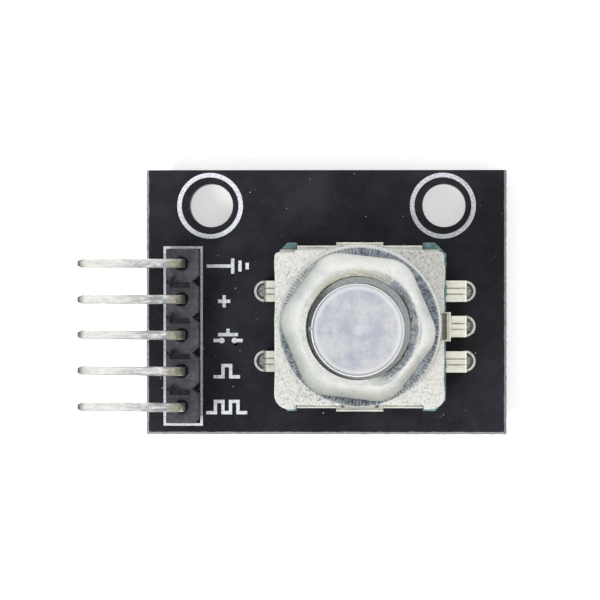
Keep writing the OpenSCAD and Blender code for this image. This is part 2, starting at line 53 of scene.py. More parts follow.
# Heights and radii in millimetres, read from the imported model
BOARD_LOW, BOARD_HIGH = [[v / MM for v in corner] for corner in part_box("circuit_board")]
PLATE_LOW, PLATE_HIGH = [[v / MM for v in corner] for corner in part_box("bushing_plate")]
NUT_LOW, NUT_HIGH = [[v / MM for v in corner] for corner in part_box("hex_nut")]
WASHER_LOW, WASHER_HIGH = [[v / MM for v in corner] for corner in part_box("lock_washer")]
SHAFT_LOW, SHAFT_HIGH = [[v / MM for v in corner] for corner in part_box("shaft")]
BOARD_TOP = BOARD_HIGH[2]
FLOOR_Z = -1.5

THREAD_R = 3.5
THREAD_PITCH = 0.75
THREAD_DEPTH = 0.4
SHAFT_R = 3.0
LEAD_X = 7.5
SWITCH_LEAD_X = -6.83
LEAD_PITCH = 2.5
HEADER_X = -12.68
HEADER_Y = -0.62
PIN_PITCH = 2.54
HOLES = [(-10.66, 8.64), (6.01, 8.64)]
MOUNT_HOLE_R = 1.55
PIN_HOLE_R = 0.51
LEAD_HOLE_R = 0.6
LUG_Y = 5.8


# ---------------------------------------------------------------- materials

def linear(colour):
    """Linear colour of an 8-bit display colour."""
    out = []
    for value in colour:
        c = value / 255
        out.append(c / 12.92 if c <= 0.04045 else ((c + 0.055) / 1.055) ** 2.4)
    return (*out, 1.0)


class Shade:
    """A Principled material whose colour, roughness and bump come from procedural noise, in mm."""

    def __init__(self, name, metallic=0.0, specular=0.5):
        self.material = bpy.data.materials.new(name)
        self.material.use_nodes = True
        self.tree = self.material.node_tree
        self.shader = self.tree.nodes["Principled BSDF"]
        self.shader.inputs["Metallic"].default_value = metallic
        self.shader.inputs["Specular IOR Level"].default_value = specular
        self.coords = self.node("ShaderNodeTexCoord")
        self.height = None
        self.colour = None

    def node(self, kind, **settings):
        n = self.tree.nodes.new(kind)
        for key, value in settings.items():
            setattr(n, key, value)
        return n

    def link(self, a, b):
        self.tree.links.new(a, b)

    def mapped(self, stretch=(1, 1, 1)):
        m = self.node("ShaderNodeMapping")
        m.inputs["Scale"].default_value = [s / MM for s in stretch]
        self.link(self.coords.outputs["Object"], m.inputs["Vector"])
        return m.outputs["Vector"]

    def noise(self, scale, detail=3.0, stretch=(1, 1, 1), rough=0.6):
        n = self.node("ShaderNodeTexNoise")
        n.inputs["Scale"].default_value = scale
        n.inputs["Detail"].default_value = detail
        n.inputs["Roughness"].default_value = rough
        self.link(self.mapped(stretch), n.inputs["Vector"])
        return n.outputs["Fac"]

    def spots(self, scale):
        n = self.node("ShaderNodeTexVoronoi")
        n.inputs["Scale"].default_value = scale
        self.link(self.mapped(), n.inputs["Vector"])
        return n.outputs["Distance"]

    def axis_value(self, axis):
        """One coordinate of the point, in mm."""
        split = self.node("ShaderNodeSeparateXYZ")
        self.link(self.mapped(), split.inputs["Vector"])
        return split.outputs[axis]

    def radius(self):
        """Distance from the shaft's axis, in mm."""
        flat = self.node("ShaderNodeVectorMath", operation="LENGTH")
        self.link(self.mapped((1, 1, 0)), flat.inputs[0])
        return flat.outputs["Value"]

    def ramp(self, fac, low, high, from_value=0.0, to_value=1.0):
        r = self.node("ShaderNodeMapRange", clamp=True)
        self.link(fac, r.inputs["Value"])
        for key, value in (("From Min", low), ("From Max", high),
                           ("To Min", from_value), ("To Max", to_value)):
            r.inputs[key].default_value = value
        return r.outputs["Result"]

    def times(self, a, b):
        m = self.node("ShaderNodeMath", operation="MULTIPLY")
        self.link(a, m.inputs[0])
        self.link(b, m.inputs[1])
        return m.outputs["Value"]

    def lines(self, axis, pitch, offset, width):
        """Fine lines square to an axis, one on each side of every multiple of the pitch."""
        fold = self.node("ShaderNodeMath", operation="PINGPONG")
        fold.inputs[1].default_value = pitch / 2
        self.link(self.axis_value(axis), fold.inputs[0])
        away = self.node("ShaderNodeMath", operation="SUBTRACT")
        away.inputs[1].default_value = offset
        self.link(fold.outputs["Value"], away.inputs[0])
        near = self.node("ShaderNodeMath", operation="ABSOLUTE")
        self.link(away.outputs["Value"], near.inputs[0])
        return self.ramp(near.outputs["Value"], width, width * 0.4)

    def base(self, colour):
        self.colour = linear(colour)
        return self

    def mix(self, fac, colour):
        """Lay a colour over what is there, as strong as fac."""
        m = self.node("ShaderNodeMix", data_type="RGBA", clamp_factor=True)
        self.link(fac, m.inputs["Factor"])
        if isinstance(self.colour, tuple):
            m.inputs["A"].default_value = self.colour
        else:
            self.link(self.colour, m.inputs["A"])
        m.inputs["B"].default_value = linear(colour)
        self.colour = m.outputs["Result"]
        return self

    def bump(self, fac, depth):
        """Relief of the given depth in mm."""
        b = self.node("ShaderNodeBump")
        b.inputs["Strength"].default_value = 1.0
        b.inputs["Distance"].default_value = depth * MM
        self.link(fac, b.inputs["Height"])
        if self.height:
            self.link(self.height, b.inputs["Normal"])
        self.height = b.outputs["Normal"]
        return self

    def rough(self, fac, low, high):
        self.link(self.ramp(fac, 0.25, 0.75, low, high), self.shader.inputs["Roughness"])
        return self

    def done(self):
        if isinstance(self.colour, tuple):
            self.shader.inputs["Base Color"].default_value = self.colour
        else:
            self.link(self.colour, self.shader.inputs["Base Color"])
        if self.height:
            self.link(self.height, self.shader.inputs["Normal"])
        return self.material


def board_mask():
    s = Shade("board_mask", specular=0.16)
    s.base((27, 25, 31))
    s.mix(s.ramp(s.noise(0.28), 0.4, 0.7), (43, 41, 48))
    s.mix(s.ramp(s.noise(9, 2), 0.6, 0.72, 0, 0.6), (58, 57, 66))
    scratch = s.times(s.ramp(s.noise(2.2, 2, (1, 9, 1)), 0.66, 0.7), s.ramp(s.noise(0.5), 0.5, 0.62))
    s.mix(s.ramp(scratch, 0, 1, 0, 0.35), (90, 90, 98))
    dust = s.times(s.ramp(s.spots(1.35), 0.075, 0.05), s.ramp(s.noise(0.8), 0.45, 0.6))
    s.mix(dust, (176, 176, 184))
    s.rough(s.noise(1.2), 0.42, 0.62)
    s.bump(s.noise(14, 2), 0.004)
    s.bump(s.noise(1.1, 2), 0.012)
    return s.done()


def laminate():
    s = Shade("laminate_edge", specular=0.3)
    s.base((146, 149, 150))
    s.mix(s.ramp(s.noise(3.2, 4, (1, 1, 6)), 0.4, 0.66), (98, 101, 104))
    s.mix(s.ramp(s.noise(9, 3), 0.6, 0.75, 0, 0.8), (206, 206, 201))
    s.rough(s.noise(5), 0.6, 0.85)
    s.bump(s.noise(9, 4, (1, 1, 4)), 0.03)
    return s.done()


def print_ink():
    s = Shade("print_ink", specular=0.3)
    s.base((220, 222, 230))
    s.mix(s.ramp(s.noise(6, 3), 0.46, 0.64, 0, 0.7), (176, 178, 188))
    s.mix(s.ramp(s.noise(11, 2), 0.6, 0.68), (72, 72, 78))
    s.rough(s.noise(6), 0.55, 0.75)
    s.bump(s.noise(12, 3), 0.008)
    return s.done()


def tinned():
    s = Shade("tin", metallic=0.9)
    s.base((214, 214, 208))
    s.mix(s.ramp(s.noise(4, 3), 0.45, 0.7), (180, 180, 176))
    s.rough(s.noise(5), 0.25, 0.45)
    s.bump(s.noise(7, 3), 0.006)
    return s.done()


def soldered():
    s = Shade("solder", metallic=0.95)
    s.base((170, 172, 176))
    s.mix(s.ramp(s.noise(5, 4, (1, 3, 1)), 0.42, 0.6), (84, 86, 90))
    s.mix(s.ramp(s.noise(9, 3, (1, 3, 1)), 0.62, 0.72), (226, 228, 230))
    s.rough(s.noise(6), 0.16, 0.38)
    s.bump(s.noise(4, 4, (1, 2, 1)), 0.03)
    return s.done()


def resistor_body():
    s = Shade("resistor", specular=0.5)
    s.base((30, 30, 33))
    s.mix(s.ramp(s.noise(8, 3), 0.5, 0.7), (52, 52, 56))
    s.rough(s.noise(6), 0.3, 0.5)
    s.bump(s.noise(16, 3), 0.004)
    return s.done()


def header_plastic():
    s = Shade("header_plastic", specular=0.45)
    s.base((56, 53, 61))
    s.mix(s.ramp(s.noise(3, 4), 0.42, 0.72), (82, 79, 89))
    s.mix(s.ramp(s.noise(12, 3), 0.62, 0.74, 0, 0.7), (118, 116, 126))
    s.rough(s.noise(5), 0.28, 0.5)
    s.bump(s.noise(11, 4), 0.012)
    s.bump(s.noise(2.2, 2), 0.03)
    return s.done()


def pin_metal():
    s = Shade("pin_metal", metallic=1.0)
    s.base((252, 250, 246))
    s.mix(s.ramp(s.noise(1.6, 3, (0.6, 2, 2)), 0.42, 0.66), (232, 230, 226))
    s.mix(s.ramp(s.noise(5, 4, (0.5, 2, 2)), 0.56, 0.68, 0, 0.7), (196, 194, 193))
    near_board = s.ramp(s.axis_value("X"), -17.6, -14.6)
    s.mix(s.times(near_board, s.ramp(s.noise(3.5, 4, (0.4, 2, 2)), 0.4, 0.58)), (162, 163, 170))
    tips = s.ramp(s.axis_value("X"), -19.35, -19.75)
    s.mix(s.times(tips, s.ramp(s.noise(5), 0.2, 0.6, 0.6, 1)), (150, 148, 142))
    bend = s.times(s.ramp(s.axis_value("X"), -13.75, -13.45), s.ramp(s.noise(4), 0.3, 0.6, 0.45, 0.9))
    s.mix(bend, (168, 163, 142))
    s.rough(s.noise(4, 3, (0.5, 2, 2)), 0.22, 0.42)
    s.bump(s.noise(5, 4, (0.4, 2, 2)), 0.012)
    return s.done()


def housing_plastic():
    s = Shade("housing_plastic", specular=0.4)
    s.base((84, 118, 120))
    s.mix(s.ramp(s.noise(2.4, 4), 0.4, 0.66), (128, 154, 156))
    s.mix(s.ramp(s.noise(10, 3), 0.62, 0.74, 0, 0.8), (44, 72, 72))
    s.rough(s.noise(5), 0.4, 0.65)
    s.bump(s.noise(9, 4), 0.02)
    return s.done()


def contact_metal():
    s = Shade("contact_metal", metallic=0.85)
    s.base((252, 250, 238))
    s.mix(s.ramp(s.noise(2, 4, (0.7, 2.5, 1)), 0.42, 0.68), (236, 233, 219))
    s.mix(s.ramp(s.noise(9, 3, (0.5, 3, 1)), 0.62, 0.74, 0, 0.7), (196, 192, 176))
    groove = s.lines("Y", LEAD_PITCH, 0.2, 0.05)
    # Painted shade: the darker colour along each groove line; the groove's relief is the bump below.
    s.mix(s.times(groove, s.ramp(s.noise(3), 0.3, 0.6, 0.4, 0.9)), (150, 148, 136))
    s.rough(s.noise(5), 0.3, 0.5)
    s.bump(groove, -0.02)
    s.bump(s.noise(8, 4, (0.5, 3, 1)), 0.01)
    return s.done()


def spring_steel():
    s = Shade("spring_steel", metallic=1.0)
    s.base((190, 188, 182))
    s.mix(s.ramp(s.noise(4, 3, (3, 1, 1)), 0.4, 0.7), (150, 148, 142))
    s.rough(s.noise(6), 0.2, 0.4)
    s.bump(s.noise(14, 3), 0.003)
    return s.done()


def pale_plastic():
    s = Shade("pale_plastic", specular=0.4)
    s.base((226, 222, 206))
    s.mix(s.ramp(s.noise(3, 3), 0.4, 0.7), (206, 202, 186))
    s.rough(s.noise(5), 0.4, 0.6)
    s.bump(s.noise(10, 3), 0.006)
    return s.done()


def code_brass():
    s = Shade("code_brass", metallic=1.0)
    s.base((222, 188, 110))
    s.mix(s.ramp(s.noise(4, 3), 0.4, 0.7), (184, 148, 80))
    s.rough(s.noise(6), 0.2, 0.35)
    s.bump(s.noise(12, 3), 0.004)
    return s.done()


def bracket_steel():
    s = Shade("bracket_steel", metallic=0.9)
    s.base((216, 215, 206))
    s.mix(s.ramp(s.noise(1.6, 3, (0.5, 2, 2)), 0.42, 0.66), (184, 184, 178))
    s.mix(s.ramp(s.noise(7, 3, (0.6, 2, 2)), 0.56, 0.68, 0, 0.8), (136, 136, 130))
    s.rough(s.noise(4), 0.28, 0.48)
    s.bump(s.noise(6, 4, (0.6, 2, 2)), 0.012)
    return s.done()


def die_cast():
    s = Shade("die_cast", metallic=0.35, specular=0.5)
    s.base((226, 225, 220))
    s.mix(s.ramp(s.noise(5.5, 2), 0.5, 0.66, 0, 0.75), (198, 197, 194))
    coarse = s.ramp(s.noise(0.22, 2), 0.4, 0.65, 0.35, 1)
    s.mix(s.times(coarse, s.ramp(s.noise(6.5, 3), 0.53, 0.66)), (138, 139, 141))
    s.mix(s.ramp(s.noise(6.5, 2), 0.36, 0.26, 0, 0.9), (246, 244, 238))
    s.rough(s.noise(6), 0.42, 0.62)
    s.bump(s.noise(5.5, 3), 0.05)
    s.bump(s.noise(1.2, 2), 0.03)
    return s.done()


def thread_metal():
    s = Shade("thread_metal", metallic=0.9)
    s.base((206, 207, 206))
    s.mix(s.ramp(s.noise(5, 4, (1, 1, 4)), 0.42, 0.68), (172, 174, 174))
    s.mix(s.ramp(s.noise(9, 3), 0.62, 0.74, 0, 0.6), (226, 226, 222))
    s.rough(s.noise(6), 0.1, 0.22)
    s.bump(s.noise(8, 3, (1, 1, 3)), 0.003)
    return s.done()


def shaft_metal():
    s = Shade("shaft_metal", metallic=0.95)
    s.base((180, 181, 183))
    s.mix(s.ramp(s.noise(1.8, 4, (0.2, 0.2, 5)), 0.4, 0.64), (150, 151, 155))
    tip = s.ramp(s.axis_value("Z"), SHAFT_HIGH[2] - 0.2, SHAFT_HIGH[2] - 0.02)
    s.mix(tip, (217, 218, 222))
    s.mix(s.times(tip, s.ramp(s.noise(0.8, 4), 0.4, 0.62)), (192, 194, 209))
    s.mix(s.ramp(s.noise(4.5, 3), 0.56, 0.75, 0, 0.6), (172, 174, 184))
    # Painted highlight: a pale ring on the end face, just inside its rounded rim.
    s.mix(s.times(tip, s.ramp(s.radius(), 2.5, 2.72, 0, 0.8)), (238, 240, 242))
    # Painted highlight: a light spot at the centre of the end face.
    s.mix(s.times(tip, s.ramp(s.radius(), 0.42, 0.2, 0, 0.7)), (226, 226, 231))
    s.mix(s.ramp(s.spots(0.9), 0.06, 0.03, 0, 0.7), (148, 150, 150))
    s.rough(s.noise(1.8, 3, (0.3, 0.3, 4)), 0.28, 0.42)
    rings = s.node("ShaderNodeTexNoise")
    rings.inputs["Scale"].default_value = 1.0
    stretch = s.node("ShaderNodeCombineXYZ")
    wide = s.node("ShaderNodeMath", operation="MULTIPLY")
    wide.inputs[1].default_value = 14
    s.link(s.radius(), wide.inputs[0])
    s.link(wide.outputs["Value"], stretch.inputs["X"])
    s.link(s.ramp(s.axis_value("Z"), 0, 40, 0, 400), stretch.inputs["Y"])
    s.link(stretch.outputs["Vector"], rings.inputs["Vector"])
    s.bump(rings.outputs["Fac"], 0.004)
    s.bump(s.noise(3, 3), 0.008)
    return s.done()


def washer_steel():
    s = Shade("washer_steel", metallic=1.0)
    s.base((172, 178, 186))
    # Painted highlight: the upper-left quarter of the washer is mixed lighter, where it catches the
    # light.
    worn = s.times(s.ramp(s.axis_value("X"), 0, -3.5), s.ramp(s.axis_value("Y"), 0, 3))
    s.mix(s.ramp(s.noise(3.4, 4), 0.42, 0.6), (112, 119, 130))
    s.mix(s.times(worn, s.ramp(s.noise(3), 0.3, 0.55, 0.5, 1)), (214, 217, 217))
    # Painted highlight: light streaks are mixed into the lower-right quarter of the washer, where it
    # catches the light.
    painted_highlight_lower_right = s.times(s.ramp(s.axis_value("X"), 0.5, 3), s.ramp(s.axis_value("Y"), -1, -3))
    s.mix(s.times(painted_highlight_lower_right, s.ramp(s.noise(6), 0.44, 0.56, 0.1, 0.9)), (214, 218, 220))
    s.mix(s.ramp(s.noise(8, 3), 0.56, 0.68, 0, 0.8), (196, 200, 206))
    s.mix(s.ramp(s.radius(), 5.5, 5.56), (222, 224, 223))
    s.rough(s.noise(4), 0.2, 0.36)
    s.bump(s.noise(5, 4), 0.012)
    return s.done()


def nut_plating():
    s = Shade("nut_plating", metallic=1.0)
    s.base((243, 243, 238))
    s.mix(s.ramp(s.noise(0.9, 3), 0.42, 0.66), (228, 230, 228))
    s.mix(s.ramp(s.noise(6, 4), 0.58, 0.74, 0, 0.5), (196, 200, 206))
    # Painted shade: khaki-grey darkening on the inner slope near the bore, over the back half of the
    # nut.
    shade = s.times(s.ramp(s.radius(), 4.3, 3.7), s.ramp(s.axis_value("Y"), 0.8, 2.8))
    s.mix(s.times(shade, s.ramp(s.noise(4, 3), 0.3, 0.6, 0.6, 1)), (204, 201, 182))
    # Painted shade: blue-grey colour on the right side of the inner bevel; the bump on the bevel below
    # is surface texture.
    bevel = s.ramp(s.radius(), 4.2, 4.06)
    bevel = s.times(bevel, s.ramp(s.axis_value("X"), 0.8, 2.2))
    s.mix(s.times(bevel, s.ramp(s.noise(4.5, 4), 0.36, 0.62, 0.1, 1)), (158, 167, 182))
    s.rough(s.noise(2.4, 3), 0.12, 0.24)
    s.bump(s.noise(2.6, 3), 0.014)
    s.bump(s.times(s.noise(7, 4), bevel), 0.03)
    s.bump(s.noise(9, 3), 0.004)
    return s.done()


MATERIALS = {
    "board_mask": board_mask(), "print_ink": print_ink(), "tin": tinned(),
    "solder": soldered(), "resistor": resistor_body(), "header_plastic": header_plastic(),
    "pin_metal": pin_metal(), "housing_plastic": housing_plastic(),
    "contact_metal": contact_metal(), "spring_steel": spring_steel(),
    "pale_plastic": pale_plastic(), "code_brass": code_brass(),
    "bracket_steel": bracket_steel(), "die_cast": die_cast(), "shaft_metal": shaft_metal(),
    "washer_steel": washer_steel(), "nut_plating": nut_plating(),
}
LAMINATE = laminate()
THREAD_METAL = thread_metal()


# ---------------------------------------------------------------- mesh tools

def mesh_object(name, verts, faces, materials, indices=None, sharp_deg=32):
    """An object from points in mm."""
    mesh = bpy.data.meshes.new(name)
    mesh.from_pydata([tuple(c * MM for c in v) for v in verts], [], faces)
    for material in materials:
        mesh.materials.append(material)
    if indices:
        mesh.polygons.foreach_set("material_index", indices)
    mesh.validate()
    mesh.shade_smooth()
    mesh.set_sharp_from_angle(angle=math.radians(sharp_deg))
    obj = bpy.data.objects.new(name, mesh)
    bpy.context.scene.collection.objects.link(obj)
    return obj


def piece(obj, body, slot, *nodes):
    """Puts a new piece on its body in place of CAD nodes; the slot argument is not used."""
    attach(obj, body)
    if nodes:
        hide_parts(*nodes)
    return obj


def circle(x, y, r, count):
    return [(x + r * math.cos(FULL * i / count), y + r * math.sin(FULL * i / count))
            for i in range(count)]


def rounded(corners, radii, per_corner=8):
    """Closed loop through the corners, each rounded to its own radius."""
    loop = []
    count = len(corners)
    for i, (x, y) in enumerate(corners):
        here = Vector((x, y))
        before = (Vector(corners[i - 1]) - here).normalized()
        after = (Vector(corners[(i + 1) % count]) - here).normalized()
        r = radii[i] if isinstance(radii, (list, tuple)) else radii
        half = before.angle(after) / 2
        if r < 1e-6:
            loop.append((x, y))
            continue
        reach = r / math.tan(half)
        start, end = here + before * reach, here + after * reach
        centre = here + (before + after).normalized() * (r / math.sin(half))
        a0 = math.atan2(start.y - centre.y, start.x - centre.x)
        a1 = math.atan2(end.y - centre.y, end.x - centre.x)
        turn = (a1 - a0 + math.pi) % FULL - math.pi
        for k in range(per_corner + 1):
            a = a0 + turn * k / per_corner
            loop.append((centre.x + r * math.cos(a), centre.y + r * math.sin(a)))
    return loop


def resampled_open(points, step):
    """The same line with extra points along its long parts."""
    out = []
    for (x0, y0), (x1, y1) in zip(points, points[1:]):
        parts = max(1, round(math.hypot(x1 - x0, y1 - y0) / step))
        out += [(x0 + (x1 - x0) * k / parts, y0 + (y1 - y0) * k / parts) for k in range(parts)]
    return out + [points[-1]]


def resampled(loop, step):
    """The same loop with extra points along its long edges."""
    return resampled_open(loop + [loop[0]], step)[:-1]


def shifted(loop, inward):
    """The loop moved inward, measured square to its local direction. Loops turn anticlockwise."""
    out = []
    count = len(loop)
    for i, (x, y) in enumerate(loop):
        ax, ay = loop[i - 1]
        bx, by = loop[(i + 1) % count]
        length = math.hypot(bx - ax, by - ay) or 1.0
        out.append((x - (by - ay) / length * inward, y + (bx - ax) / length * inward))
    return out


def inside(point, loop):
    x, y = point
    hit = False
    for i, (x0, y0) in enumerate(loop):
        x1, y1 = loop[i - 1]
        if (y0 > y) != (y1 > y) and x < (x1 - x0) * (y - y0) / (y1 - y0) + x0:
            hit = not hit
    return hit


def cap(loops):
    """Triangles over the first loop, less the holes in the others. Indices count through the loops."""
    points = [Vector(p) for loop in loops for p in loop]
    edges, start = [], 0
    for loop in loops:
        count = len(loop)
        edges += [(start + i, start + (i + 1) % count) for i in range(count)]
        start += count
    found, _, faces, origin, _, _ = geometry.delaunay_2d_cdt(points, edges, [], 1, 1e-7)
    out = []
    for face in faces:
        x = sum(found[i].x for i in face) / len(face)
        y = sum(found[i].y for i in face) / len(face)
        if any(inside((x, y), hole) for hole in loops[1:]):
            continue
        out.append([origin[i][0] for i in face])
    return out


def stack(name, levels, materials, wall=0, lid=0, sharp_deg=32):
    """A solid from levels (z, [outer loop, hole loops...]), capped at both ends."""
    verts, faces, indices = [], [], []
    sizes = [len(loop) for loop in levels[0][1]]
    per_level = sum(sizes)
    for z, loops in levels:
        verts += [(x, y, z) for loop in loops for x, y in loop]
    for k in range(len(levels) - 1):
        start = k * per_level
        for which, size in enumerate(sizes):
            for i in range(size):
                a, b = start + i, start + (i + 1) % size
                quad = [a, b, b + per_level, a + per_level]
                faces.append(quad if which == 0 else quad[::-1])
                indices.append(wall)
            start += size
    for level, flip in ((0, True), (len(levels) - 1, False)):
        for triangle in cap(levels[level][1]):
            shifted_up = [i + level * per_level for i in triangle]
            faces.append(shifted_up[::-1] if flip else shifted_up)
            indices.append(lid)
    return mesh_object(name, verts, faces, materials, indices, sharp_deg)


def ring_sweep(name, profile_at, count, material, sharp_deg=32, centre=(0, 0)):
    """A closed ring: profile_at(angle) gives the closed (r, z) outline at that angle, anticlockwise."""
    verts, faces = [], []
    size = 0
    for k in range(count):
        angle = FULL * k / count
        outline = profile_at(angle)
        size = len(outline)
        verts += [(centre[0] + r * math.cos(angle), centre[1] + r * math.sin(angle), z)
                  for r, z in outline]
    for k in range(count):
        here, there = k * size, (k + 1) % count * size
        for i in range(size):
            j = (i + 1) % size
            faces.append([here + i, there + i, there + j, here + j])
    return mesh_object(name, verts, faces, [material], sharp_deg=sharp_deg)


def jitter(x, y, scale, amount, seed=0.0):
    """Smooth random offset in mm, the same on every run."""
    return noise.noise(Vector((x * scale, y * scale, seed))) * amount


def soften(node, width, segments=3, angle_deg=34):
    """Rounds a CAD node's edges with modifiers. Its mesh stays as it is."""
    obj = NODES[node]
    weld = obj.modifiers.new("weld", "WELD")
    weld.merge_threshold = 1e-7
    bevel = obj.modifiers.new("edges", "BEVEL")
    bevel.width = width * MM
    bevel.segments = segments
    bevel.limit_method = "ANGLE"
    bevel.angle_limit = math.radians(angle_deg)
    bevel.use_clamp_overlap = True
    shade = obj.modifiers.new("shade", "WEIGHTED_NORMAL")
    shade.keep_sharp = False


# ---------------------------------------------------------------- board

def board():
    """The laminate with its drilled holes; three sides are snapped from a grooved panel."""
    x0, y0 = BOARD_LOW[0], BOARD_LOW[1]
    x1, y1 = BOARD_HIGH[0], BOARD_HIGH[1]
    groove, depth = 0.2, 0.36
    body = resampled([(x0, y0), (x1, y0), (x1, y1), (x0, y1)], 0.22)
    face = []
    ragged = []
    for x, y in body:
        rough_in = abs(jitter(x, y, 1.7, 0.09)) + abs(jitter(x, y, 6, 0.05, 3.1))
        back = y > y1 - 1e-6
        inset_back = 0.03 if back else 0
        ragged.append((min(max(x, x0 + rough_in * 0.6), x1 - rough_in * 0.6),
                       min(max(y, y0 + rough_in * 0.6), y1 - inset_back)))
        rim = groove + jitter(x, y, 2.3, 0.035, 7.7)
        face.append((min(max(x, x0 + rim), x1 - rim),
                     min(max(y, y0 + rim), y1 - inset_back - 0.015)))
    holes = [circle(x, y, MOUNT_HOLE_R, 64) for x, y in HOLES]
    holes += [circle(HEADER_X, HEADER_Y + i * PIN_PITCH, PIN_HOLE_R, 24) for i in range(-2, 3)]
    holes += [circle(LEAD_X, i * LEAD_PITCH, LEAD_HOLE_R, 32) for i in (-1, 0, 1)]
    holes += [circle(SWITCH_LEAD_X, i * LEAD_PITCH, LEAD_HOLE_R, 32) for i in (-1, 1)]
    slot_x, slot_half = 1.35, 0.28
    for side in (-1, 1):
        low, high = side * LUG_Y - slot_half, side * LUG_Y + slot_half
        holes.append(rounded([(-slot_x, low), (slot_x, low), (slot_x, high), (-slot_x, high)],
                             0.279, 8))
    levels = [(0.0, [face] + holes), (depth, [ragged] + holes),
              (BOARD_TOP - depth, [ragged] + holes), (BOARD_TOP, [face] + holes)]
    obj = stack("board", levels, [MATERIALS["board_mask"], LAMINATE], wall=1, lid=0)
    return piece(obj, "module", "board_mask", "circuit_board")


def strip_along(points, width, z0, z1, verts, faces):
    """A raised line with sloping sides along the points."""
    start = len(verts)
    count = len(points)
    for i, (x, y) in enumerate(points):
        ax, ay = points[max(i - 1, 0)]
        bx, by = points[min(i + 1, count - 1)]
        length = math.hypot(bx - ax, by - ay)
        nx, ny = -(by - ay) / length, (bx - ax) / length
        for offset, z in ((-0.5, z0), (-0.32, z1), (0.32, z1), (0.5, z0)):
            verts.append((x + nx * width * offset, y + ny * width * offset, z))
    for i in range(count - 1):
        a, b = start + 4 * i, start + 4 * i + 4
        for k in range(3):
            quad = [a + k, b + k, b + k + 1, a + k + 1]
            faces.append(quad[::-1] if z1 > z0 else quad)


def board_traces():
    """Copper runs that show as faint ridges under the mask, on both faces."""
    top = [
        [(-11.4, 3.0), (-10.6, 2.2), (-10.6, 0.4), (-8.4, -1.8), (-8.4, -2.5), (-7.5, -2.5)],
        [(-7.4, 0.2), (-8.2, -0.6), (-11.2, -3.6), (-12.0, -3.6)],
        [(-11.5, -6.2), (-10.4, -7.2), (-2.0, -7.2), (0.6, -6.9), (6.6, -6.9), (8.9, -4.6),
         (8.9, -2.5), (8.3, -2.5)],
        [(-6.6, 6.9), (-3.0, 7.2), (4.0, 7.2), (9.0, 5.2), (9.0, 2.5), (8.3, 2.5)],
    ]
    under = [
        [(-12.0, 4.46), (-8.0, 4.46), (-5.0, 1.5), (6.0, 1.5), (6.6, 2.2)],
        [(-12.0, 1.92), (-9.2, 1.92), (-8.7, 1.4)],
        [(-12.0, -0.62), (-8.4, -0.62), (-7.3, -1.7)],
        [(-12.0, -3.16), (-7.0, -4.2), (5.2, -4.2), (6.8, -3.0)],
        [(-12.0, -5.7), (-9.0, -6.9), (3.2, -6.9), (8.6, -2.0), (8.6, 1.8), (8.2, 2.2)],
    ]
    verts, faces = [], []
    for line in top:
        strip_along(resampled_open(line, 0.3), 0.34, BOARD_TOP, BOARD_TOP + 0.012, verts, faces)
    for line in under:
        strip_along(resampled_open(line, 0.3), 0.4, 0.0, -0.02, verts, faces)
    obj = mesh_object("board_traces", verts, faces, [MATERIALS["board_mask"]], sharp_deg=60)
    return piece(obj, "module", "board_mask")


def fillet(x, y, profile, count, verts, faces, squash=(1, 1), seed=0.0):
    """A surface of revolution, slightly uneven, open towards the leg it surrounds."""
    start = len(verts)
    for r, z in profile:
        for k in range(count):
            a = FULL * k / count
            wave = 1 + noise.noise(Vector((math.cos(a) + seed, math.sin(a), z * 0.8))) * 0.07
            wave = 1 if (r, z) == profile[0] else wave
            verts.append((x + r * squash[0] * math.cos(a) * wave,
                          y + r * squash[1] * math.sin(a) * wave, z))
    rows = len(profile)
    for row in range(rows - 1):
        for k in range(count):
            j = (k + 1) % count
            a, b = start + row * count, start + (row + 1) * count
            faces.append([a + k, b + k, b + j, a + j])


def solder_fillets():
    """Concave solder round every leg: sunk in the hole above, drawn up the leg below."""
    verts, faces = [], []
    hole_top, leg_r = BOARD_TOP + 0.035, 0.3
    dish = [(0.6, hole_top), (0.56, hole_top - 0.04), (0.5, hole_top - 0.13),
            (0.42, hole_top - 0.18), (0.34, hole_top - 0.19), (0.2, hole_top - 0.18),
            (0.02, hole_top - 0.17)]
    leads = [(LEAD_X, i * LEAD_PITCH) for i in (-1, 0, 1)]
    leads += [(SWITCH_LEAD_X, i * LEAD_PITCH) for i in (-1, 1)]
    for n, (x, y) in enumerate(leads):
        fillet(x, y, dish, 32, verts, faces, seed=n)
        under = [(leg_r * 0.6, -0.98), (leg_r, -0.86), (leg_r + 0.06, -0.6), (0.5, -0.3),
                 (0.66, -0.1), (0.72, -0.04)]
        fillet(x, y, under, 32, verts, faces, seed=n + 5)
    for n in range(-2, 3):
        under = [(0.3, -1.2), (0.37, -1.1), (0.41, -0.75), (0.52, -0.4), (0.68, -0.14),
                 (0.8, -0.04)]
        fillet(HEADER_X, HEADER_Y + n * PIN_PITCH, under, 32, verts, faces, seed=n + 20)
    for n, side in enumerate((-1, 1)):
        under = [(0.24, -1.02), (0.3, -0.9), (0.4, -0.55), (0.62, -0.2), (0.8, -0.04)]
        fillet(0, side * LUG_Y, under, 40, verts, faces, squash=(1.85, 0.72), seed=n + 30)
    obj = mesh_object("solder_fillets", verts, faces, [MATERIALS["solder"]], sharp_deg=60)
    return piece(obj, "module", "solder", "solder_joints")


# ---------------------------------------------------------------- encoder

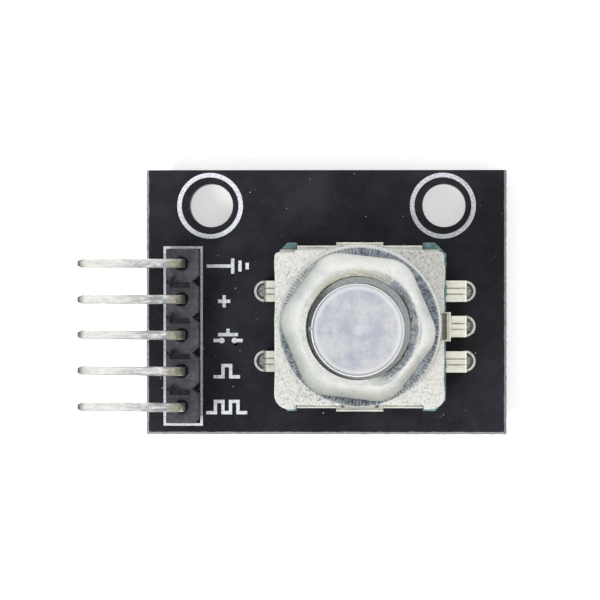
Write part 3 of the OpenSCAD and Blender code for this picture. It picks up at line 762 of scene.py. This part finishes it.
def cast_plate():
    """The die-cast plate: a softly rounded slab with the notch over the bracket's tab."""
    half = PLATE_HIGH[0]
    wall, wall_y, front, back = 4.4, 5.42, -5.72, 5.23
    loop = rounded([
        (-half, front), (-wall - 0.05, front), (-wall - 0.05, -wall_y), (wall + 0.05, -wall_y),
        (wall + 0.05, front), (half, front),
        (half, -0.95), (5.62, -0.95), (5.62, 1.0), (half, 1.0), (half, back),
        (wall + 0.14, back), (wall, wall_y - 0.02),
        (-wall, wall_y - 0.02), (-wall - 0.14, back), (-half, back),
    ], [0.95, 0.16, 0.08, 0.08, 0.16, 0.95, 0.15, 0.08, 0.08, 0.15, 0.26, 0.1, 0.16,
        0.16, 0.1, 0.26], 7)
    loop = resampled(loop, 0.2)
    loop = [(x + jitter(x, y, 0.9, 0.06, 1.3), y + jitter(x, y, 0.9, 0.06, 9.4)) for x, y in loop]
    bore = circle(0, 0, 3.3, 96)
    low, top = PLATE_LOW[2], BOARD_TOP + 6.5
    levels = [(low, [shifted(loop, 0.08), bore]), (low + 0.08, [loop, bore])]
    radius = 0.13
    for k in range(6):
        a = math.pi / 2 * k / 5
        levels.append((top - radius + radius * math.sin(a),
                       [shifted(loop, radius * (1 - math.cos(a))), bore]))
    obj = stack("cast_plate", levels, [MATERIALS["die_cast"]], sharp_deg=50)
    return piece(obj, "module", "die_cast", "bushing_plate")


def bushing_thread():
    """The bushing with a real M7 x 0.75 helix that fades out below its chamfered end."""
    bottom, top = BOARD_TOP + 6.3, PLATE_HIGH[2]
    chamfer, fall, around, per_pitch = 0.34, 1.25, 120, 12
    plain_foot, fade_in, plain_end, fade_out = 0.4, 0.3, 0.08, 0.2
    rows = int((top - chamfer - bottom) / THREAD_PITCH * per_pitch)
    verts, faces = [], []

    def radius(angle, z):
        phase = (z / THREAD_PITCH - angle / FULL) % 1
        tooth = min(1.0, max(0.0, 1.35 - abs(phase - 0.5) * 3.4))
        run_out = min(1.0, max(0.0, (z - bottom - plain_foot) / fade_in))
        run_out *= min(1.0, max(0.0, (top - chamfer - plain_end - z) / fade_out))
        r = THREAD_R - THREAD_DEPTH * (1 - tooth) * run_out
        return min(r, THREAD_R - 0.01 - max(0.0, z - (top - chamfer)) * fall)

    heights = [bottom + (top - chamfer - bottom) * i / rows for i in range(rows + 1)]
    heights += [top - chamfer * (1 - k / 6) for k in range(1, 7)]
    for z in heights:
        verts += [(radius(FULL * k / around, z) * math.cos(FULL * k / around),
                   radius(FULL * k / around, z) * math.sin(FULL * k / around), z)
                  for k in range(around)]
    mouth = [(3.06, top), (3.035, top - 0.03), (3.035, top - 0.65), (2.635, top - 0.66),
             (2.635, bottom)]
    for r, z in mouth:
        verts += [(x, y, z) for x, y in circle(0, 0, r, around)]
    for row in range(len(heights) + len(mouth) - 1):
        for k in range(around):
            j = (k + 1) % around
            a, b = row * around, (row + 1) * around
            faces.append([a + k, a + j, b + j, b + k])
    obj = mesh_object("bushing_thread", verts, faces, [THREAD_METAL], sharp_deg=30)
    return piece(obj, "module", "die_cast", "bushing_plate")


def toothed_washer():
    """A flat washer with radial serrations inside a smooth rim, cut deeper on one side."""
    low, top = WASHER_LOW[2], WASHER_HIGH[2]
    centre = ((WASHER_LOW[0] + WASHER_HIGH[0]) / 2, (WASHER_LOW[1] + WASHER_HIGH[1]) / 2)
    outer = (WASHER_HIGH[0] - WASHER_LOW[0]) / 2
    bore, teeth, per_tooth, depth = 3.62, 144, 6, 0.08
    inner_end, outer_end = 4.5, 5.54
    wave = [0.0, 0.0, 0.5, 1.0, 1.0, 0.5]
    deepest_at = -math.pi / 4
    radii = [inner_end, inner_end + 0.1, inner_end + 0.3, 5.0, 5.2, outer_end - 0.12]

    def profile(angle):
        k = round(angle / FULL * teeth * per_tooth)
        down = depth * wave[k % per_tooth]
        down *= 0.8 + 0.2 * noise.noise(Vector((k * 0.9, 0, 0)))
        down *= 1 + 0.5 * max(0.0, math.cos(angle - deepest_at))
        outline = [(bore, low), (outer - 0.04, low), (outer, low + 0.05), (outer, top - 0.1),
                   (outer - 0.02, top - 0.04), (outer - 0.06, top - 0.012),
                   (outer_end, top - 0.012)]
        outline += [(r, top - 0.012 - down) for r in radii[::-1]]
        outline += [(inner_end - 0.08, top - 0.012), (bore + 0.05, top - 0.012),
                    (bore, top - 0.06)]
        return outline

    obj = ring_sweep("toothed_washer", profile, teeth * per_tooth, MATERIALS["washer_steel"],
                     45, centre)
    return piece(obj, "module", "washer_steel", "lock_washer")


def hex_radius(angle, apothem, corner):
    """Distance from the axis to a hexagon with rounded corners."""
    sector = math.radians(60)
    phi = (angle + sector / 2) % sector - sector / 2
    core = apothem - corner
    half_side = core * math.tan(math.radians(30))
    if abs(apothem * math.tan(phi)) <= half_side:
        return apothem / math.cos(phi)
    across = core * math.cos(phi) + half_side * abs(math.sin(phi))
    return across + math.sqrt(across ** 2 - core ** 2 - half_side ** 2 + corner ** 2)


def crowned_nut():
    """A hex nut with soft corners that falls away to its flats outside and its bore inside.

    It sits a little off the shaft's axis, and its inner bevel is worn on the side it leans to.
    """
    low, top = NUT_LOW[2], NUT_HIGH[2]
    turn, apothem, corner = math.radians(-6.8 + 30), 4.95, 2.1
    mean_bore, off_centre, drop_out = THREAD_R + 0.02, 0.07, 0.28
    play = (-0.1, 0.03)
    worn = math.radians(-12)

    def profile(angle):
        edge = hex_radius(angle - turn, apothem, corner)
        lean = max(0.0, min(1.0, (math.cos(angle - worn) - 0.3) / 0.45))
        lean = lean * lean * (3 - 2 * lean)
        bore = mean_bore - off_centre * math.sin(angle)
        drop_in = 0.015 + 0.135 * lean
        crest = bore + (0.36 + 0.14 * lean) * (edge - bore)
        outline = [(bore + 0.25, low), (edge - 0.3, low), (edge - 0.05, low + 0.12),
                   (edge, low + 0.35), (edge, top - drop_out - 0.15)]
        outline.append((edge - 0.015, top - drop_out - 0.03))
        for k in range(11):
            t = 1 - k / 10
            outline.append((crest + (edge - 0.06 - crest) * t, top - drop_out * t ** 1.7))
        inner = bore + 0.08
        for k in range(1, 7):
            t = k / 6
            outline.append((crest - (crest - inner) * t, top - drop_in * t ** 1.25))
        outline += [(bore, top - drop_in - 0.1), (bore, low + 0.25)]
        return outline

    obj = ring_sweep("crowned_nut", profile, 288, MATERIALS["nut_plating"], 38, play)
    return piece(obj, "module", "nut_plating", "hex_nut")


def turned_shaft():
    """The shaft: a keyed foot, the ring's groove, the journal and a plain end with a soft rim."""
    count = 144
    foot, tip = SHAFT_LOW[2], SHAFT_HIGH[2]
    groove_low, groove_high = BOARD_TOP + 5.27, BOARD_TOP + 5.77
    shoulder = PLATE_HIGH[2] - 0.05
    rim = 0.3

    def keyed(r):
        return [(r * math.cos(FULL * k / count), max(-2, min(2, r * math.sin(FULL * k / count))))
                for k in range(count)]

    def rounds(r):
        return circle(0, 0, r, count)

    levels = [(foot, keyed(2.42)), (foot + 0.08, keyed(2.5)), (groove_low, keyed(2.5)),
              (groove_low + 0.001, rounds(1.8)), (groove_high, rounds(1.8)),
              (groove_high + 0.001, rounds(2.6)), (shoulder, rounds(2.6)),
              (shoulder + 0.001, rounds(2.96)), (shoulder + 0.04, rounds(SHAFT_R))]
    z = shoulder + 0.6
    while z < tip - rim - 0.3:
        levels.append((z, rounds(SHAFT_R - 0.003 * (1 + math.sin(z * 2.3)))))
        z += 0.5
    for k in range(9):
        a = math.pi / 2 * k / 8
        levels.append((tip - rim + rim * math.sin(a),
                       rounds(SHAFT_R - rim * (1 - math.cos(a)))))
    levels = [(z, [loop]) for z, loop in levels]
    obj = stack("turned_shaft", levels, [MATERIALS["shaft_metal"]], sharp_deg=40)
    return piece(obj, "shaft", "shaft_metal", "shaft")


def shaft_burr():
    """The small burr that turning left at the tip's edge."""
    tip = SHAFT_HIGH[2]
    root, reach, half = 2.86, 3.13, 0.14
    angle = math.radians(178)
    axis = Vector((math.cos(angle), math.sin(angle)))
    side = Vector((-axis.y, axis.x))
    rings = []
    for share, r in ((1, root), (0.95, SHAFT_R), (0.7, 3.09), (0.3, reach)):
        mid = axis * r
        w = half * share
        h = 0.11 * share
        z = tip - 0.24
        rings.append([(mid.x + side.x * w * math.cos(a), mid.y + side.y * w * math.cos(a),
                       z + h * math.sin(a)) for a in [FULL * k / 10 for k in range(10)]])
    verts = [v for ring in rings for v in ring]
    faces = []
    for row in range(len(rings) - 1):
        for k in range(10):
            j = (k + 1) % 10
            faces.append([row * 10 + k, row * 10 + j, row * 10 + 10 + j, row * 10 + 10 + k])
    last = (len(rings) - 1) * 10
    faces.append([last + k for k in range(10)])
    obj = mesh_object("shaft_burr", verts, faces, [MATERIALS["shaft_metal"]], sharp_deg=60)
    return piece(obj, "shaft", "shaft_metal")


def tab_root():
    """The bend where the bracket's web turns up into its tab."""
    low, tab, reach, radius = BOARD_TOP + 4.68, 6.11, 5.64, 0.46
    profile = [(reach, low - 0.05), (reach, low)]
    for k in range(9):
        a = math.pi / 2 * k / 8
        profile.append((tab - radius + radius * math.sin(a), low + radius * (1 - math.cos(a))))
    profile.append((tab, low - 0.05))
    verts, faces = [], []
    rows, half = 12, 0.93
    for row in range(rows + 1):
        y = -half + 2 * half * row / rows
        for x, z in profile:
            wave = jitter(x * 3, y * 2, 1.3, 0.012) if z > low else 0
            verts.append((x, y + 0.02, z + wave))
    size = len(profile)
    for row in range(rows):
        for i in range(size):
            j = (i + 1) % size
            a, b = row * size, (row + 1) * size
            faces.append([a + i, b + i, b + j, a + j])
    faces.append(list(range(size)))
    faces.append([rows * size + i for i in range(size)][::-1])
    obj = mesh_object("tab_root", verts, faces, [MATERIALS["bracket_steel"]], sharp_deg=50)
    return piece(obj, "module", "bracket_steel")


def moulding_flash():
    """Thin slivers of moulding flash that stand out between the housing and the plate."""
    rng = random.Random(7)
    verts, faces = [], []
    z = BOARD_TOP + 4.35
    for y_low, y_high, reach in ((4.1, 4.75, 0.14), (1.95, 3.05, 0.18), (-3.0, -2.3, 0.16),
                                 (-4.75, -4.1, 0.12), (4.85, 5.2, 0.1)):
        parts = 9
        start = len(verts)
        for k in range(parts + 1):
            y = y_low + (y_high - y_low) * k / parts
            out = reach * math.sin(math.pi * k / parts) ** 0.5 * rng.uniform(0.35, 1)
            for x, dz in ((5.85, -0.1), (6.02 + out, -0.06), (6.02 + out, 0.02), (5.85, 0.04)):
                verts.append((x, y, z + dz))
        for k in range(parts):
            a, b = start + 4 * k, start + 4 * k + 4
            for m in range(4):
                n = (m + 1) % 4
                faces.append([a + m, a + n, b + n, b + m])
        faces.append([start + m for m in (3, 2, 1, 0)])
        faces.append([start + 4 * parts + m for m in range(4)])
    obj = mesh_object("moulding_flash", verts, faces, [MATERIALS["housing_plastic"]], sharp_deg=60)
    return piece(obj, "module", "housing_plastic")


# ---------------------------------------------------------------- stage

def floor():
    """A plain pale floor at the lowest point of the legs."""
    size = 0.9
    verts = [(-size / MM, -size / MM, FLOOR_Z), (size / MM, -size / MM, FLOOR_Z),
             (size / MM, size / MM, FLOOR_Z), (-size / MM, size / MM, FLOOR_Z)]
    material = bpy.data.materials.new("floor_white")
    material.use_nodes = True
    shader = material.node_tree.nodes["Principled BSDF"]
    shader.inputs["Base Color"].default_value = (0.93, 0.93, 0.93, 1)
    shader.inputs["Roughness"].default_value = 0.9
    shader.inputs["Specular IOR Level"].default_value = 0.1
    shader.inputs["Emission Color"].default_value = (1, 1, 1, 1)
    shader.inputs["Emission Strength"].default_value = 0.42
    obj = mesh_object("floor", verts, [[0, 1, 2, 3]], [material])


def sky():
    """A soft white room: dimmer towards the horizon, shaded left and front, dark low on the left."""
    world = bpy.data.worlds.new("studio")
    bpy.context.scene.world = world
    world.use_nodes = True
    tree = world.node_tree
    tree.nodes.clear()

    def node(kind, **settings):
        n = tree.nodes.new(kind)
        for key, value in settings.items():
            setattr(n, key, value)
        return n

    def ramp(fac, stops):
        r = node("ShaderNodeValToRGB")
        tree.links.new(fac, r.inputs["Fac"])
        elements = r.color_ramp.elements
        while len(elements) < len(stops):
            elements.new(0.5)
        for element, (place, colour) in zip(elements, stops):
            element.position = place
            element.color = (*colour, 1)
        return r.outputs["Color"]

    def product(a, b):
        m = node("ShaderNodeMix", data_type="RGBA", blend_type="MULTIPLY")
        m.inputs["Factor"].default_value = 1
        tree.links.new(a, m.inputs["A"])
        tree.links.new(b, m.inputs["B"])
        return m.outputs["Result"]

    coords = node("ShaderNodeTexCoord")
    split = node("ShaderNodeSeparateXYZ")
    tree.links.new(coords.outputs["Generated"], split.inputs["Vector"])
    upward = ramp(split.outputs["Z"], [
        (0.0, (0.4, 0.41, 0.42)), (0.2, (0.52, 0.53, 0.54)), (0.45, (0.68, 0.69, 0.69)),
        (0.64, (0.8, 0.81, 0.81)), (0.82, (0.94, 0.94, 0.94)), (0.95, (1.0, 1.0, 1.0)),
        (1.0, (1.0, 1.0, 1.0))])
    lean = node("ShaderNodeVectorMath", operation="DOT_PRODUCT")
    tree.links.new(coords.outputs["Generated"], lean.inputs[0])
    lean.inputs[1].default_value = Vector((-1, -0.25, 0)).normalized()
    leftward = ramp(lean.outputs["Value"], [
        (0.0, (1.0, 1.0, 1.0)), (0.14, (0.98, 0.98, 0.99)), (0.4, (0.85, 0.89, 0.88)),
        (0.65, (0.74, 0.78, 0.76)), (1.0, (0.68, 0.71, 0.7))])
    flag = ramp(lean.outputs["Value"], [(0.0, (0, 0, 0)), (0.3, (0, 0, 0)), (0.6, (1, 1, 1))])
    low = ramp(split.outputs["Z"], [(0.0, (1, 1, 1)), (0.26, (1, 1, 1)), (0.41, (0, 0, 0))])
    front = node("ShaderNodeVectorMath", operation="DOT_PRODUCT")
    tree.links.new(coords.outputs["Generated"], front.inputs[0])
    front.inputs[1].default_value = (0.1, -1, 0)
    frontward = ramp(front.outputs["Value"], [
        (0.0, (1.0, 1.0, 1.0)), (0.3, (0.98, 0.98, 0.96)), (0.6, (0.82, 0.81, 0.77)),
        (1.0, (0.7, 0.7, 0.66))])
    lit = product(product(upward, leftward), frontward)
    room_colour = node("ShaderNodeMix", data_type="RGBA")
    tree.links.new(product(flag, low), room_colour.inputs["Factor"])
    tree.links.new(lit, room_colour.inputs["A"])
    room_colour.inputs["B"].default_value = (0.02, 0.02, 0.025, 1)
    room = node("ShaderNodeBackground")
    room.inputs["Strength"].default_value = 1.0
    tree.links.new(room_colour.outputs["Result"], room.inputs["Color"])
    plain = node("ShaderNodeBackground")
    plain.inputs["Color"].default_value = (1, 1, 1, 1)
    path = node("ShaderNodeLightPath")
    choose = node("ShaderNodeMixShader")
    tree.links.new(path.outputs["Is Camera Ray"], choose.inputs["Fac"])
    tree.links.new(room.outputs["Background"], choose.inputs[1])
    tree.links.new(plain.outputs["Background"], choose.inputs[2])
    out = node("ShaderNodeOutputWorld")
    tree.links.new(choose.outputs["Shader"], out.inputs["Surface"])


def softbox(name, place, size, power):
    """A round light in metres, aimed at the origin and left out of mirror reflections."""
    data = bpy.data.lights.new(name, "AREA")
    data.shape = "DISK"
    data.size = size
    data.energy = power
    obj = bpy.data.objects.new(name, data)
    obj.location = place
    obj.rotation_euler = (-Vector(place)).to_track_quat("-Z", "Y").to_euler()
    obj.visible_glossy = False
    bpy.context.scene.collection.objects.link(obj)


def camera():
    """Looks almost straight down from above the encoder, aimed at the middle of the module."""
    data = bpy.data.cameras.new("camera")
    data.sensor_width = 36
    data.lens = 209.5
    data.clip_start = 0.01
    data.clip_end = 5
    obj = bpy.data.objects.new("camera", data)
    distance, aim_x, aim_y = 250.0, -4.306, 1.87
    place = Vector((1.535, 2.6, BOARD_TOP + distance))
    obj.location = place * MM
    tilt_x, tilt_y = (aim_y - place.y) / distance, (place.x - aim_x) / distance
    obj.rotation_euler = (math.atan(tilt_x), math.atan(tilt_y), 0)
    bpy.context.scene.collection.objects.link(obj)
    bpy.context.scene.camera = obj


# ---------------------------------------------------------------- build

for entry in frame["record"]["subparts"]:
    node_object = NODES[entry["node"]]
    node_object.data.materials.clear()
    node_object.data.materials.append(MATERIALS[entry["material_slot"]])

camera()
board()
board_traces()
solder_fillets()
cast_plate()
bushing_thread()
toothed_washer()
crowned_nut()
turned_shaft()
shaft_burr()
tab_root()
moulding_flash()

SOFT_EDGES = {
    "header_strip": 0.07, "header_pin_1": 0.07, "header_pin_2": 0.07, "header_pin_3": 0.07,
    "header_pin_4": 0.07, "header_pin_5": 0.07, "contact_a": 0.05, "contact_common": 0.05,
    "contact_b": 0.05, "switch_contact_inner": 0.05, "switch_contact_outer": 0.05,
    "mounting_bracket": 0.07, "switch_case": 0.08, "contact_base": 0.1, "rotor": 0.06,
    "switch_plunger": 0.06, "retaining_ring": 0.05, "pullup_resistor_1": 0.04,
    "pullup_resistor_2": 0.04, "resistor_end_caps": 0.04,
}
for node_name, edge in SOFT_EDGES.items():
    soften(node_name, edge)

floor()
sky()
softbox("key", (-0.2, -0.16, 0.26), 0.2, 1.15)
softbox("fill", (0.24, 0.12, 0.3), 0.2, 0.08)
bpy.context.scene.view_settings.view_transform = "Standard"
